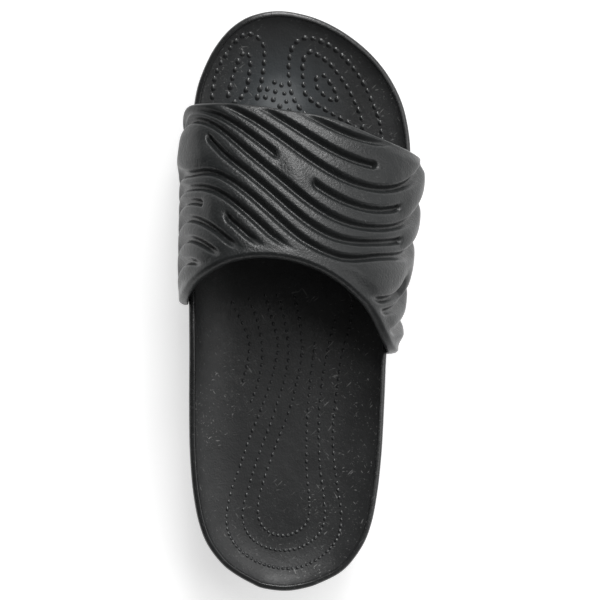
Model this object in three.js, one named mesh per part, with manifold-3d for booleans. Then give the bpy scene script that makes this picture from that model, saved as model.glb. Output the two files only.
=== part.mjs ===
// A moulded foam slide sandal for the right foot, in millimetres: a sole with a rim round its footbed,
// an insole laid in that rim, and one broad strap with a rippled face that laps the sole's sides.
// +Y runs from heel to toe, +X to the outer side of the foot and +Z up. The sole stands on z = 0.
import * as THREE from "three";
import { mergeVertices } from "three/addons/utils/BufferGeometryUtils.js";
import Module from "manifold-3d";

const wasm = await Module();
wasm.setup();

// Sole
const soleLength = 268; // heel to toe, over the rim
const ballWidth = 105; // over the rim at its widest
const seatHeight = 27; // floor to footbed at the heel
const cupHeight = 6; // the footbed's rise from its middle to its edge at the heel
const cupWidth = 21; // how far in from the edge that rise begins
const archHeight = 4; // extra rise of the footbed's inner edge at the waist
const toeSpring = 9; // floor to the underside of the toe tip
const heelLift = 2.5; // floor to the underside of the heel tip
const waistLift = 1.8; // floor to the underside of the waist
const sideDraft = 2.4; // how far the side leans in from rim to floor
const footRound = 3.4; // rounding of the sole's lower edge
const rimRound = 1.6; // rounding of the rim's outer edge
const rimWidth = 2.7; // outline to the insole's recess
const rimLip = 1.1; // the rim above the insole's edge
const fitGap = 0.3; // between the insole's edge and the rim
const bedGap = 0.4; // under the insole
const lapGap = 0.4; // between the strap and the sole's side

// Insole
const insoleThickness = 4.5;
const insoleRound = 0.7; // rounding of its upper edge

// Tread
const treadDepth = 1.8;
const treadWidth = 3;
const treadPitch = 11;
const treadChevron = 14; // how far a groove runs back from its middle over one ballWidth
const treadMargin = 10; // outline to the ends of the grooves

// Strap
const strapWall = 2; // at the bottom of the grooves
const ridgeHeight = 3.2; // of the ridges above the grooves
const instepTop = 70; // floor to the strap's inside, at the middle of its rear edge
const toeTop = 48; // the same at the middle of its front edge
const strapCrown = 2.5; // how much the strap bows up between those edges
const peakShift = 10; // how far the strap's peak lies to the inner side of its middle
const legBottom = 8.5; // floor to the strap's lower ends
const legCorner = 9; // rounding of the corners at those ends
const legWall = 2; // wall at the lower ends
const legTaper = 20; // height over which the wall thins down to that
const edgeWall = 1.9; // wall along the front and rear edges
const edgeRound = 1.8; // rounding of those edges
const frontBlend = 6.5; // from the front edge to the full height of the ripples
const rearHem = 3; // plain border at the rear edge
const rearBlend = 7; // from that border to the full height of the ripples
const hemShare = 0.7; // height of the borders, as a share of ridgeHeight

// Ripples on the strap's face
const ripplePitch = 9;
const grooveFloor = 0.5; // half the width of a groove's floor
const grooveMouth = 3; // half the width of its mouth
const meander = 21; // how far the ripples swing forward and back across the strap
const meanderLength = 168; // one whole swing, measured over the strap
const meanderFade = 75; // distance over which the swing dies out, forward and back
const rippleSlant = 0.1; // forward run of the ripples for each millimetre across

// The rim's outline from above, anticlockwise from the heel: shares of soleLength and ballWidth
const rimOutline = [
  { along: 0, across: 0.005 },
  { along: 0.0057, across: 0.102 },
  { along: 0.0126, across: 0.153 },
  { along: 0.0297, across: 0.241 },
  { along: 0.0468, across: 0.289 },
  { along: 0.0811, across: 0.349 },
  { along: 0.1153, across: 0.382 },
  { along: 0.1665, across: 0.408 },
  { along: 0.2345, across: 0.428 },
  { along: 0.32, across: 0.442 },
  { along: 0.41, across: 0.455 },
  { along: 0.48, across: 0.473 },
  { along: 0.54, across: 0.498 },
  { along: 0.6, across: 0.526 },
  { along: 0.66, across: 0.552 },
  { along: 0.72, across: 0.569 },
  { along: 0.7715, across: 0.57 },
  { along: 0.8131, across: 0.555 },
  { along: 0.8443, across: 0.533 },
  { along: 0.8753, across: 0.496 },
  { along: 0.9059, across: 0.443 },
  { along: 0.9364, across: 0.368 },
  { along: 0.9668, across: 0.26 },
  { along: 0.9871, across: 0.151 },
  { along: 0.9972, across: 0.052 },
  { along: 1, across: -0.02 },
  { along: 0.9972, across: -0.09 },
  { along: 0.9871, across: -0.17 },
  { along: 0.9668, across: -0.243 },
  { along: 0.9364, across: -0.306 },
  { along: 0.9059, across: -0.347 },
  { along: 0.8753, across: -0.377 },
  { along: 0.8443, across: -0.394 },
  { along: 0.79, across: -0.406 },
  { along: 0.71, across: -0.417 },
  { along: 0.6, across: -0.42 },
  { along: 0.5, across: -0.42 },
  { along: 0.41, across: -0.419 },
  { along: 0.32, across: -0.42 },
  { along: 0.2345, across: -0.416 },
  { along: 0.1665, across: -0.401 },
  { along: 0.1153, across: -0.375 },
  { along: 0.0811, across: -0.34 },
  { along: 0.0468, across: -0.274 },
  { along: 0.0297, across: -0.219 },
  { along: 0.0126, across: -0.143 },
  { along: 0.0057, across: -0.104 },
];

// The footbed from heel to toe: its middle as a share of seatHeight, and its edge's rise as a share
// of cupHeight
const footbedStations = [
  { along: 0, seat: 1, cup: 1 },
  { along: 0.14, seat: 1, cup: 1 },
  { along: 0.3, seat: 0.95, cup: 0.86 },
  { along: 0.45, seat: 0.86, cup: 0.6 },
  { along: 0.6, seat: 0.76, cup: 0.34 },
  { along: 0.73, seat: 0.72, cup: 0.2 },
  { along: 0.86, seat: 0.77, cup: 0.16 },
  { along: 1, seat: 0.97, cup: 0.16 },
];

// The underside, whose flat stretches lie on the floor: shares of soleLength
const underside = { heel: 0.075, waistStart: 0.34, waistEnd: 0.52, toe: 0.7 };

// The medial arch: its middle and its half length as shares of soleLength
const arch = { middle: 0.43, reach: 0.2 };

// The strap's edges from the inner end (-1) over the top (0) to the outer end (1): shares of soleLength
const strapEdges = [
  { across: -1, front: 0.815, rear: 0.490 },
  { across: -0.8, front: 0.820, rear: 0.494 },
  { across: -0.6, front: 0.831, rear: 0.507 },
  { across: -0.4, front: 0.831, rear: 0.537 },
  { across: -0.2, front: 0.827, rear: 0.563 },
  { across: 0, front: 0.817, rear: 0.566 },
  { across: 0.2, front: 0.803, rear: 0.543 },
  { across: 0.4, front: 0.773, rear: 0.491 },
  { across: 0.6, front: 0.754, rear: 0.419 },
  { across: 0.8, front: 0.747, rear: 0.408 },
  { across: 1, front: 0.744, rear: 0.404 },
];

// The grooves: which multiple of ripplePitch each follows, and where it starts and ends across
const grooves = [
  { level: 1, from: -1.2, to: 1.2 },
  { level: 2, from: -1.2, to: 0.6 },
  { level: 3, from: -1.2, to: 0.02 },
  { level: 3, from: 0.2, to: 1.2 },
  { level: 4, from: -1.2, to: 0.5 },
  { level: 5, from: -1.2, to: -0.4 },
  { level: 5, from: -0.24, to: 1.2 },
  { level: 6, from: -1.2, to: 0.16 },
  { level: 6, from: 0.34, to: 0.62 },
  { level: 7, from: -1.2, to: 1.2 },
  { level: 8, from: -1.2, to: -0.7 },
  { level: 8, from: -0.36, to: 0.54 },
  { level: 9, from: -1.2, to: 1.2 },
  { level: 10, from: -1.2, to: -0.05 },
  { level: 10, from: 0.13, to: 0.5 },
  { level: 11, from: -1.2, to: 1.2 },
  { level: 12, from: -1.2, to: 0.36 },
  { level: 13, from: -0.4, to: 1.2 },
];

// Smooth oval islands that the ripples part round: middle and half sizes, across the strap and forward
// from its rearmost point, as shares of strapReach and strapSpan
const islands = [
  { across: -0.5, forward: 0.81, halfWidth: 0.2, halfLength: 0.116 },
  { across: 0.47, forward: 0.3, halfWidth: 0.22, halfLength: 0.116 },
];

// How finely the solids are cut
const rimPoints = 88;
const strapColumns = 54;
const cornerColumns = 5;
const liningRows = 11;

const clamp = (value, low, high) => Math.min(high, Math.max(low, value));

function smoothStep(value) {
  const t = clamp(value, 0, 1);
  return t * t * (3 - 2 * t);
}

// A cubic through one column of a table, against another column that rises
function tableValue(table, key, column, at) {
  const last = table.length - 1;
  let i = 0;
  while (i < last - 1 && at > table[i + 1][key]) i += 1;
  const slope = (j) => {
    const before = table[Math.max(j - 1, 0)];
    const after = table[Math.min(j + 1, last)];
    return (after[column] - before[column]) / (after[key] - before[key]);
  };
  const width = table[i + 1][key] - table[i][key];
  const t = clamp((at - table[i][key]) / width, 0, 1);
  const rise = table[i + 1][column] - table[i][column];
  const bend = t * (1 - t) * ((1 - t) * (slope(i) * width - rise) - t * (slope(i + 1) * width - rise));
  return table[i][column] + t * rise + bend;
}

// Outline
const outlineCurve = new THREE.CatmullRomCurve3(
  rimOutline.map((row) => new THREE.Vector3(row.across * ballWidth, row.along * soleLength, 0)),
  true,
  "centripetal",
);
outlineCurve.arcLengthDivisions = 1200;
const outline = outlineCurve.getSpacedPoints(rimPoints).slice(0, rimPoints);
const outlineNormals = outline.map((point, i) => {
  const next = outline[(i + 1) % rimPoints];
  const previous = outline[(i + rimPoints - 1) % rimPoints];
  return new THREE.Vector3(next.y - previous.y, previous.x - next.x, 0).normalize();
});

const inset = (i, distance) => outline[i].clone().addScaledVector(outlineNormals[i], -distance);

// Where the outline lies at one distance along the sole, on the outer side (1) or the inner side (-1)
function sideAt(y, side) {
  for (let i = 0; i < rimPoints; i += 1) {
    const [a, b] = [outline[i], outline[(i + 1) % rimPoints]];
    const onSide = side > 0 ? a.y <= y && b.y > y : a.y >= y && b.y < y;
    if (onSide) return a.x + ((b.x - a.x) * (y - a.y)) / (b.y - a.y);
  }
  return 0;
}

function edgeDistance(x, y) {
  const point = new THREE.Vector3(x, y, 0);
  const nearest = new THREE.Vector3();
  const segment = new THREE.Line3();
  return outline.reduce((least, start, i) => {
    segment.set(start, outline[(i + 1) % rimPoints]).closestPointToPoint(point, true, nearest);
    return Math.min(least, nearest.distanceTo(point));
  }, Infinity);
}

// Heights
function undersideHeight(y) {
  const along = y / soleLength;
  const heel = clamp(1 - along / underside.heel, 0, 1);
  const toe = clamp((along - underside.toe) / (1 - underside.toe), 0, 1);
  const { waistStart, waistEnd } = underside;
  const waist = clamp((along - waistStart) / (waistEnd - waistStart), 0, 1);
  return heelLift * heel ** 2 + toeSpring * toe ** 2 + waistLift * Math.sin(Math.PI * waist) ** 2;
}

// The footbed's height, at a distance in from the edge of its recess
function footbedHeight(x, y, fromEdge) {
  const along = y / soleLength;
  const seat = seatHeight * tableValue(footbedStations, "along", "seat", along);
  const cup = cupHeight * tableValue(footbedStations, "along", "cup", along);
  const innerSide = smoothStep(-x / (ballWidth / 4));
  const fromArch = Math.abs(along - arch.middle) / arch.reach;
  const archRise = archHeight * innerSide * (1 - smoothStep(fromArch));
  return seat + (cup + archRise) * clamp(1 - fromEdge / cupWidth, 0, 1) ** 2;
}

const rimHeight = (x, y) => footbedHeight(x, y, 0) + rimLip;

// How far in the sole's side lies, at a height between its underside (0) and its rim (1)
const sideInset = (share) => sideDraft * (1 - clamp(share, 0, 1)) ** 2;

// A ring of vertices on the sole: one for each point of the outline, from functions of that point
function ring(insetOf, heightOf) {
  return outline.map((rimPoint, i) => {
    const point = inset(i, insetOf(rimPoint));
    point.z = heightOf(point, rimPoint);
    return point;
  });
}

// Rings drawn in from a starting one towards the sole's middle line
const spineShares = [0.82, 0.64, 0.46, 0.28];
const spineEnds = { heel: 0.17, toe: 0.83 };
const spineAcross = (y) => (sideAt(y, 1) + sideAt(y, -1)) / 2;

function innerRings(start, thickness) {
  return [1, ...spineShares].map((share) =>
    start.map((point) => {
      const y = clamp(point.y, spineEnds.heel * soleLength, spineEnds.toe * soleLength);
      const inner = new THREE.Vector3(spineAcross(y), y, 0);
      inner.lerp(new THREE.Vector3(point.x, point.y, 0), share);
      inner.z = footbedHeight(inner.x, inner.y, edgeDistance(inner.x, inner.y) - rimWidth) - thickness;
      return inner;
    }),
  );
}

// Meshes
function geometryOf(points, triangles) {
  const geometry = new THREE.BufferGeometry();
  const numbers = points.flatMap((p) => p.toArray());
  geometry.setAttribute("position", new THREE.Float32BufferAttribute(numbers, 3));
  geometry.setIndex(triangles.flat());
  geometry.computeVertexNormals();
  return geometry;
}

// Triangles between two chains of vertex numbers that run the same way, the first of them on the right
// seen from outside
function zip(right, left, progress) {
  const triangles = [];
  let r = 0;
  let l = 0;
  while (r < right.length - 1 || l < left.length - 1) {
    const leftDone = l === left.length - 1;
    const rightLeft = r < right.length - 1;
    const stepRight = leftDone || (rightLeft && progress(right[r + 1]) <= progress(left[l + 1]));
    triangles.push(stepRight ? [right[r], right[r + 1], left[l]] : [right[r], left[l + 1], left[l]]);
    if (stepRight) r += 1;
    else l += 1;
  }
  return triangles.filter(([a, b, c]) => a !== b && b !== c && a !== c);
}

// A solid whose surface runs through closed rings, from the lowest one outwards, up and in again
function ringSolid(rings) {
  const count = rings[0].length;
  const points = rings.flat();
  const triangles = [];
  for (let k = 0; k < rings.length - 1; k += 1) {
    for (let i = 0; i < count; i += 1) {
      const j = (i + 1) % count;
      const [a, b, c, d] = [k * count + i, k * count + j, (k + 1) * count + j, (k + 1) * count + i];
      triangles.push([a, b, c], [a, c, d]);
    }
  }
  const cap = (k) => {
    const numbers = rings[k].map((_, i) => k * count + i);
    const heel = numbers.reduce((best, n) => (points[n].y < points[best].y ? n : best));
    const turned = [...numbers.slice(heel - k * count), ...numbers.slice(0, heel - k * count)];
    const toe = turned.reduce((best, n, i) => (points[n].y > points[turned[best]].y ? i : best), 0);
    const back = [turned[0], ...turned.slice(toe).reverse()];
    return zip(turned.slice(0, toe + 1), back, (n) => points[n].y);
  };
  triangles.push(...cap(0).map(([a, b, c]) => [a, c, b]), ...cap(rings.length - 1));
  return geometryOf(points, triangles);
}

function solidOf(geometry) {
  const bare = geometry.clone();
  bare.deleteAttribute("normal");
  bare.deleteAttribute("uv");
  const merged = mergeVertices(bare, 1e-4);
  const triVerts = new Uint32Array(merged.index.array);
  const vertProperties = merged.attributes.position.array;
  return new wasm.Manifold(new wasm.Mesh({ numProp: 3, vertProperties, triVerts }));
}

function geometryFrom(solid) {
  const mesh = solid.getMesh();
  const geometry = new THREE.BufferGeometry();
  const numbers = new Float32Array(mesh.vertProperties);
  geometry.setAttribute("position", new THREE.BufferAttribute(numbers, 3));
  geometry.setIndex(new THREE.BufferAttribute(new Uint32Array(mesh.triVerts), 1));
  geometry.computeVertexNormals();
  return geometry;
}

// Sole
const lerp = THREE.MathUtils.lerp;

function soleBody() {
  const side = (share) =>
    ring(
      () => sideInset(share),
      (point, rimPoint) => lerp(undersideHeight(rimPoint.y), rimHeight(rimPoint.x, rimPoint.y), share),
    );
  const low = (insetBy, lift) =>
    ring(
      () => insetBy,
      (point, rimPoint) => undersideHeight(point.y) + lift,
    );
  const high = (insetBy, drop) =>
    ring(
      () => insetBy,
      (point, rimPoint) => rimHeight(rimPoint.x, rimPoint.y) - drop,
    );
  const recessFloor = innerRings(
    ring(
      () => rimWidth,
      () => 0,
    ),
    insoleThickness + bedGap,
  );
  return ringSolid([
    low(sideDraft + footRound, 0),
    low(sideDraft + footRound * 0.3, footRound * 0.25),
    low(sideDraft * 0.9, footRound),
    side(0.45),
    side(0.7),
    high(0, rimRound),
    high(rimRound * 0.3, rimRound * 0.3),
    high(rimRound * 0.75, 0),
    high(rimWidth - 0.5, 0),
    high(rimWidth, 0.5),
    ...recessFloor,
  ]);
}

// Chevron grooves in the flat stretches of the underside
function treadCutter() {
  const middle = (underside.toe + underside.waistEnd) / 2;
  const zones = [
    { from: underside.heel, to: underside.waistStart },
    { from: underside.waistEnd, to: underside.toe + (underside.toe - middle) },
  ];
  const reach = ballWidth;
  const bars = zones.flatMap(({ from, to }) => {
    const length = (to - from) * soleLength;
    const count = Math.max(1, Math.floor(length / treadPitch));
    return Array.from({ length: count }, (_, i) => {
      const y = from * soleLength + ((i + 0.5) * length) / count;
      const shape = new THREE.Shape([
        new THREE.Vector2(-reach, y - treadChevron),
        new THREE.Vector2(0, y),
        new THREE.Vector2(reach, y - treadChevron),
        new THREE.Vector2(reach, y - treadChevron + treadWidth),
        new THREE.Vector2(0, y + treadWidth),
        new THREE.Vector2(-reach, y - treadChevron + treadWidth),
      ]);
      const bar = new THREE.ExtrudeGeometry(shape, { depth: 2 * treadDepth, bevelEnabled: false });
      return solidOf(bar.translate(0, 0, -treadDepth));
    });
  });
  const every = 2;
  const border = outline.filter((_, i) => i % every === 0).map((_, i) => inset(i * every, treadMargin));
  const field = new THREE.ExtrudeGeometry(new THREE.Shape(border), {
    depth: 4 * treadDepth,
    bevelEnabled: false,
  });
  return wasm.Manifold.union(bars).intersect(solidOf(field.translate(0, 0, -2 * treadDepth)));
}

const soleGeometry = () => geometryFrom(solidOf(soleBody()).subtract(treadCutter()));

// Insole
function insoleGeometry() {
  const edge = ring(
    () => rimWidth + fitGap,
    () => 0,
  );
  const softened = ring(
    () => rimWidth + fitGap + insoleRound,
    () => 0,
  );
  const under = innerRings(edge, insoleThickness).reverse();
  const top = innerRings(softened, 0);
  const shoulder = edge.map((point) => {
    const raised = point.clone();
    raised.z = footbedHeight(point.x, point.y, fitGap) - insoleRound;
    return raised;
  });
  return ringSolid([...under, shoulder, ...top]);
}

// Strap
// The strap's half length over the top and its whole length forward, which its ripples are drawn on
const strapReach = 100;
const strapRear = Math.min(...strapEdges.map((row) => row.rear)) * soleLength;
const strapSpan = Math.max(...strapEdges.map((row) => row.front)) * soleLength - strapRear;

const legShare = 0.18; // of the strap's half length, down the sole's side
const archSquareness = 2.35; // exponent of the strap's curve over the foot, where 2 is an ellipse

// The curve over the foot, half width 1 and height 1, measured along itself from its inner end (-1) to its
// outer end (1)
const archSteps = 240;
const archCurve = Array.from({ length: archSteps + 1 }, (_, i) => {
  const angle = Math.PI * (1 - i / archSteps);
  const power = (value) => Math.sign(value) * Math.abs(value) ** (2 / archSquareness);
  return { across: power(Math.cos(angle)), up: Math.abs(power(Math.sin(angle))), travel: 0 };
});
archCurve.forEach((here, i) => {
  const before = archCurve[Math.max(i - 1, 0)];
  here.travel = before.travel + Math.hypot(here.across - before.across, here.up - before.up);
});
const archTravel = archCurve[archSteps].travel;

function archPoint(across) {
  const travel = ((across + 1) / 2) * archTravel;
  let i = 0;
  while (i < archSteps - 1 && archCurve[i + 1].travel < travel) i += 1;
  const [a, b] = [archCurve[i], archCurve[i + 1]];
  const t = clamp((travel - a.travel) / (b.travel - a.travel), 0, 1);
  return { across: lerp(a.across, b.across, t), up: lerp(a.up, b.up, t) };
}

// The strap's inner face, at a place across it and a distance along the sole
function strapInside(across, y) {
  const side = Math.sign(across) || 1;
  const outer = sideAt(y, 1) + lapGap;
  const inner = sideAt(y, -1) - lapGap;
  const springOf = (x) => rimHeight(x, y) - rimRound;
  if (Math.abs(across) > 1 - legShare) {
    const x = side > 0 ? outer : inner;
    const spring = springOf(x);
    const down = (Math.abs(across) - (1 - legShare)) / legShare;
    const z = lerp(spring, legBottom, down);
    const floor = undersideHeight(y);
    const share = (z - floor) / (rimHeight(x, y) - floor);
    return new THREE.Vector3(x - side * sideInset(share), y, z);
  }
  const over = archPoint(across / (1 - legShare));
  const forward = (y - strapRear) / strapSpan;
  const rearMiddle = tableValue(strapEdges, "across", "rear", 0) * soleLength;
  const frontMiddle = tableValue(strapEdges, "across", "front", 0) * soleLength;
  const progress = (y - rearMiddle) / (frontMiddle - rearMiddle);
  const top = lerp(instepTop, toeTop, progress) + strapCrown * Math.sin(Math.PI * clamp(forward, 0, 1));
  const spring = lerp(springOf(inner), springOf(outer), (over.across + 1) / 2);
  return new THREE.Vector3(
    lerp(inner, outer, (over.across + 1) / 2) - peakShift * over.up ** 2,
    y,
    lerp(spring, top, over.up),
  );
}

// The ripples: a height field whose whole multiples of ripplePitch are the lines the grooves follow
function rippleSwing(across, forward) {
  const swing = Math.sin((2 * Math.PI * (across + 0.06 * strapReach)) / meanderLength);
  const fade = Math.exp(-(((forward - strapSpan * 0.54) / meanderFade) ** 2));
  return forward + rippleSlant * across + meander * swing * fade;
}

function rippleField(across, forward) {
  return islands.reduce((field, island) => {
    const [x, y] = [island.across * strapReach, island.forward * strapSpan];
    const level = (Math.floor(rippleSwing(x, y) / ripplePitch) + 0.5) * ripplePitch;
    const widths = (across - x) / (island.halfWidth * strapReach);
    const lengths = (forward - y) / (island.halfLength * strapSpan);
    const distance = Math.hypot(widths, lengths);
    return field - (field - level) * Math.exp(-(distance ** 2));
  }, rippleSwing(across, forward));
}

function rippleSlope(across, forward) {
  const step = 0.5;
  const slope = Math.hypot(
    (rippleField(across + step, forward) - rippleField(across - step, forward)) / (2 * step),
    (rippleField(across, forward + step) - rippleField(across, forward - step)) / (2 * step),
  );
  return Math.max(slope, 0.45);
}

// 0 on a groove's floor and 1 on the ridges, at a place across the strap and forward from its
// rearmost point
function ripple(across, forward) {
  const field = rippleField(across, forward);
  const slope = rippleSlope(across, forward);
  const fromGrooves = grooves.map(({ level, from, to }) => {
    const beyond = Math.max(0, from * strapReach - across, across - to * strapReach);
    return Math.hypot((field - level * ripplePitch) / slope, beyond);
  });
  return smoothStep((Math.min(...fromGrooves) - grooveFloor) / (grooveMouth - grooveFloor));
}

// The strap's wall at a place on it, from the distances to its front edge, rear edge and lower end
function wallAt(across, y, fromFront, fromRear, fromEnd) {
  const overEdges = smoothStep(fromFront / frontBlend) * smoothStep((fromRear - rearHem) / rearBlend);
  const rippled = overEdges * smoothStep(fromEnd / legTaper);
  const raised = ripple(across * strapReach, y - strapRear);
  const full = strapWall + ridgeHeight * lerp(hemShare, raised, rippled);
  const leg = lerp(legWall, full, smoothStep(fromEnd / legTaper));
  const edge = clamp(Math.min(fromFront, fromRear) / edgeRound, 0, 1);
  return lerp(edgeWall, leg, Math.sqrt(1 - (1 - edge) ** 2));
}

// One line of places along the strap, from its rear edge to its front edge
function strapColumn(across) {
  const fromEnd = (1 - Math.abs(across)) * strapReach;
  const round = clamp(1 - fromEnd / legCorner, 0, 1);
  const cut = legCorner * (1 - Math.sqrt(1 - round ** 2));
  const front = tableValue(strapEdges, "across", "front", across) * soleLength - cut;
  const rear = tableValue(strapEdges, "across", "rear", across) * soleLength + cut;
  return { across, fromEnd, front, rear };
}

// Where a column of the strap crosses the floors and mouths of the grooves, each with its height in
// the field
function grooveCrossings({ across, front, rear }) {
  const at = across * strapReach;
  const step = 0.5;
  const count = Math.ceil((front - rear) / step);
  const samples = Array.from({ length: count + 1 }, (_, i) => {
    const forward = lerp(rear, front, i / count) - strapRear;
    return { forward, field: rippleField(at, forward), slope: rippleSlope(at, forward) };
  });
  const levels = [...new Set(grooves.map(({ level }) => level))];
  const offsets = [-grooveMouth, -grooveFloor, grooveFloor, grooveMouth];
  const bounds = levels.flatMap((level) =>
    offsets.map((offset) => ({ line: level * ripplePitch, offset })),
  );
  const crossings = bounds.flatMap(({ line, offset }) => {
    const above = (sample) => sample.field - line - offset * sample.slope;
    const i = samples.findIndex((here, k) => k > 0 && above(samples[k - 1]) < 0 && above(here) >= 0);
    if (i < 0) return [];
    const [a, b] = [samples[i - 1], samples[i]];
    const share = above(a) / (above(a) - above(b));
    return [{ y: lerp(a.forward, b.forward, share) + strapRear, rank: line + offset }];
  });
  return crossings.sort((a, b) => a.y - b.y);
}

// The places on a column that carry the strap's face: its edges, their rounding and the crossings
// between them
function faceChain(column) {
  const { across, front, rear } = column;
  const rankOf = (y) => rippleField(across * strapReach, y - strapRear);
  const [first, last] = [rear + edgeRound, front - edgeRound];
  const chain = [{ y: first, rank: rankOf(first) }];
  grooveCrossings(column).forEach((place) => {
    const clear = place.y > chain[chain.length - 1].y + 0.4 && place.y < last - 0.4;
    if (clear) chain.push({ y: place.y, rank: Math.max(place.rank, chain[chain.length - 1].rank) });
  });
  chain.push({ y: last, rank: Math.max(rankOf(last), chain[chain.length - 1].rank) });
  return [{ y: rear, rank: -Infinity }, ...chain, { y: front, rank: Infinity }];
}

function strapGeometry() {
  const cornerShare = legCorner / strapReach;
  const corners = Array.from({ length: cornerColumns }, (_, i) => {
    const turn = (Math.PI * i) / (2 * cornerColumns);
    return cornerShare * (1 - Math.cos(turn));
  });
  const middles = Array.from({ length: strapColumns + 1 }, (_, i) =>
    lerp(cornerShare - 1, 1 - cornerShare, i / strapColumns),
  );
  const innerCorners = corners.map((share) => share - 1);
  const outerCorners = corners.map((share) => 1 - share).reverse();
  const columns = [...innerCorners, ...middles, ...outerCorners].map(strapColumn);

  const outside = ({ across, fromEnd, front, rear }, y) => {
    const nudge = 0.004;
    const ahead = strapInside(clamp(across + nudge, -1, 1), y);
    const over = ahead.sub(strapInside(clamp(across - nudge, -1, 1), y));
    const along = strapInside(across, y + 1).sub(strapInside(across, y - 1));
    const normal = over.cross(along).normalize();
    const wall = wallAt(across, y, front - y, y - rear, fromEnd);
    return strapInside(across, y).addScaledVector(normal, wall);
  };

  const points = [];
  const ranks = [];
  const numbered = (point, rank) => {
    ranks.push(rank);
    return points.push(point) - 1;
  };
  const faces = columns.map((column) =>
    faceChain(column).map(({ y, rank }) => numbered(outside(column, y), rank)),
  );
  const liningShares = Array.from({ length: liningRows + 1 }, (_, j) => j / liningRows);
  const linings = columns.map(({ across, front, rear }) =>
    liningShares.map((share) => numbered(strapInside(across, lerp(rear, front, share)), 0)),
  );

  const triangles = [];
  const quad = (a, b, c, d) => triangles.push([a, b, c], [a, c, d]);
  for (let i = 0; i < columns.length - 1; i += 1) {
    const [inner, outer] = [faces[i], faces[i + 1]];
    const [lining, next] = [linings[i], linings[i + 1]];
    quad(inner[0], outer[0], outer[1], inner[1]);
    triangles.push(...zip(outer.slice(1, -1), inner.slice(1, -1), (n) => ranks[n]));
    quad(inner.at(-2), outer.at(-2), outer.at(-1), inner.at(-1));
    for (let j = 0; j < liningRows; j += 1) quad(lining[j], lining[j + 1], next[j + 1], next[j]);
    quad(lining[0], next[0], outer[0], inner[0]);
    quad(inner.at(-1), outer.at(-1), next.at(-1), lining.at(-1));
  }
  const forward = (n) => points[n].y;
  triangles.push(...zip(faces[0], linings[0], forward));
  triangles.push(...zip(linings.at(-1), faces.at(-1), forward));
  return geometryOf(points, triangles);
}

// Assembly, with the middle of its footprint at the origin
const foam = (color, roughness) => new THREE.MeshStandardMaterial({ color, roughness, metalness: 0 });

function piece(name, geometry, material) {
  const mesh = new THREE.Mesh(geometry, material);
  mesh.name = name;
  return mesh;
}

const sandal = new THREE.Group();
sandal.add(
  piece("sole", soleGeometry(), foam(0x1b1c1c, 0.6)),
  piece("insole", insoleGeometry(), foam(0x222324, 0.7)),
  piece("upper", strapGeometry(), foam(0x1d1f1f, 0.5)),
);
const footprint = new THREE.Box3().setFromObject(sandal).getCenter(new THREE.Vector3());
sandal.position.set(-footprint.x, -footprint.y, 0);

export default sandal;
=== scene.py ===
"""A moulded foam slide sandal for the right foot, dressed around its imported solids.

Lengths are worked out in millimetres with the heel's tip at y = 0, and moved into the frame
in metres.
"""
import math

import bpy
import numpy as np
from mathutils import Matrix, Vector


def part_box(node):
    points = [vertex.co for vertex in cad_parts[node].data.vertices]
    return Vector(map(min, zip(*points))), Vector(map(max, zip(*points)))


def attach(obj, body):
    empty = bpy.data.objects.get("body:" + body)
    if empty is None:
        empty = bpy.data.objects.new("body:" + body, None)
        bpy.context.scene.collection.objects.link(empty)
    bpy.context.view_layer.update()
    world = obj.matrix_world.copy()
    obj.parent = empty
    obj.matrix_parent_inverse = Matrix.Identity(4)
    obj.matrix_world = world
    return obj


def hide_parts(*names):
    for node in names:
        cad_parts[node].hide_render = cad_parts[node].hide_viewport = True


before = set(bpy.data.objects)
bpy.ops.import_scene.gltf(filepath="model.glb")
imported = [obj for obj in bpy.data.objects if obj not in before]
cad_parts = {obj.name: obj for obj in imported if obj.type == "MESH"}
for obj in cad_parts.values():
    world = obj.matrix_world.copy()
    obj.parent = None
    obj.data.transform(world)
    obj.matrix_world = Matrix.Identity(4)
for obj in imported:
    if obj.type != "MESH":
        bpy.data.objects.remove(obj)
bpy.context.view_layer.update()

# ---------------------------------------------------------------- sizes, in millimetres
MM_PER_METRE = 1000

SOLE_LENGTH = 268.0
BALL_WIDTH = 105.0
SEAT_HEIGHT = 27.0
CUP_HEIGHT = 6.0
CUP_WIDTH = 21.0
ARCH_HEIGHT = 4.0
ARCH_WIDTH = BALL_WIDTH / 4
TOE_SPRING = 9.0
HEEL_LIFT = 2.5
WAIST_LIFT = 1.8
SIDE_DRAFT = 2.4
FOOT_ROUND = 3.4
RIM_ROUND = 1.6
RIM_ROUND_WIDTH = RIM_ROUND * 1.2
RIM_INNER_ROUND = 0.55
RIM_WIDTH = 2.7
RIM_LIP = 1.1
INSOLE_GAP = 0.03
INSOLE_STEP = 0.12
INSOLE_ROUND = 0.15
COVE_WIDTH = 4.5
BED_GAP = 0.4
INSOLE_THICKNESS = 4.5
TREAD_DEPTH = 1.8
TREAD_WIDTH = 3.0
TREAD_PITCH = 11.0
TREAD_CHEVRON = 14.0
TREAD_MARGIN = 10.0
CUTTER_DROP = 4.0

LAP_GAP = 0.4
STRAP_WALL = 2.0
RIDGE_HEIGHT = 3.2
RELIEF = 3.8
INSTEP_TOP = 70.0
TOE_TOP = 48.0
STRAP_CROWN = 2.5
PEAK_SHIFT = 10.0
LEG_BOTTOM = 8.5
LEG_CORNER = 9.0
LEG_WALL = 2.0
LEG_TAPER = 20.0
EDGE_WALL = 1.6
EDGE_ROUND = 1.8
INNER_ROUND = 0.6
FRONT_BLEND = 6.5
REAR_HEM = 3.0
REAR_BLEND = 7.0
STRAP_REACH = 100.0
RIPPLE_PITCH = 9.0
GROOVE_WIDTH = 1.42
SIDE_GROOVE_WIDTH = 3.0
GROOVE_SWELL = 5.5
MEANDER = 21.0
MEANDER_LENGTH = 168.0
MEANDER_FADE = 75.0

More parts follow.
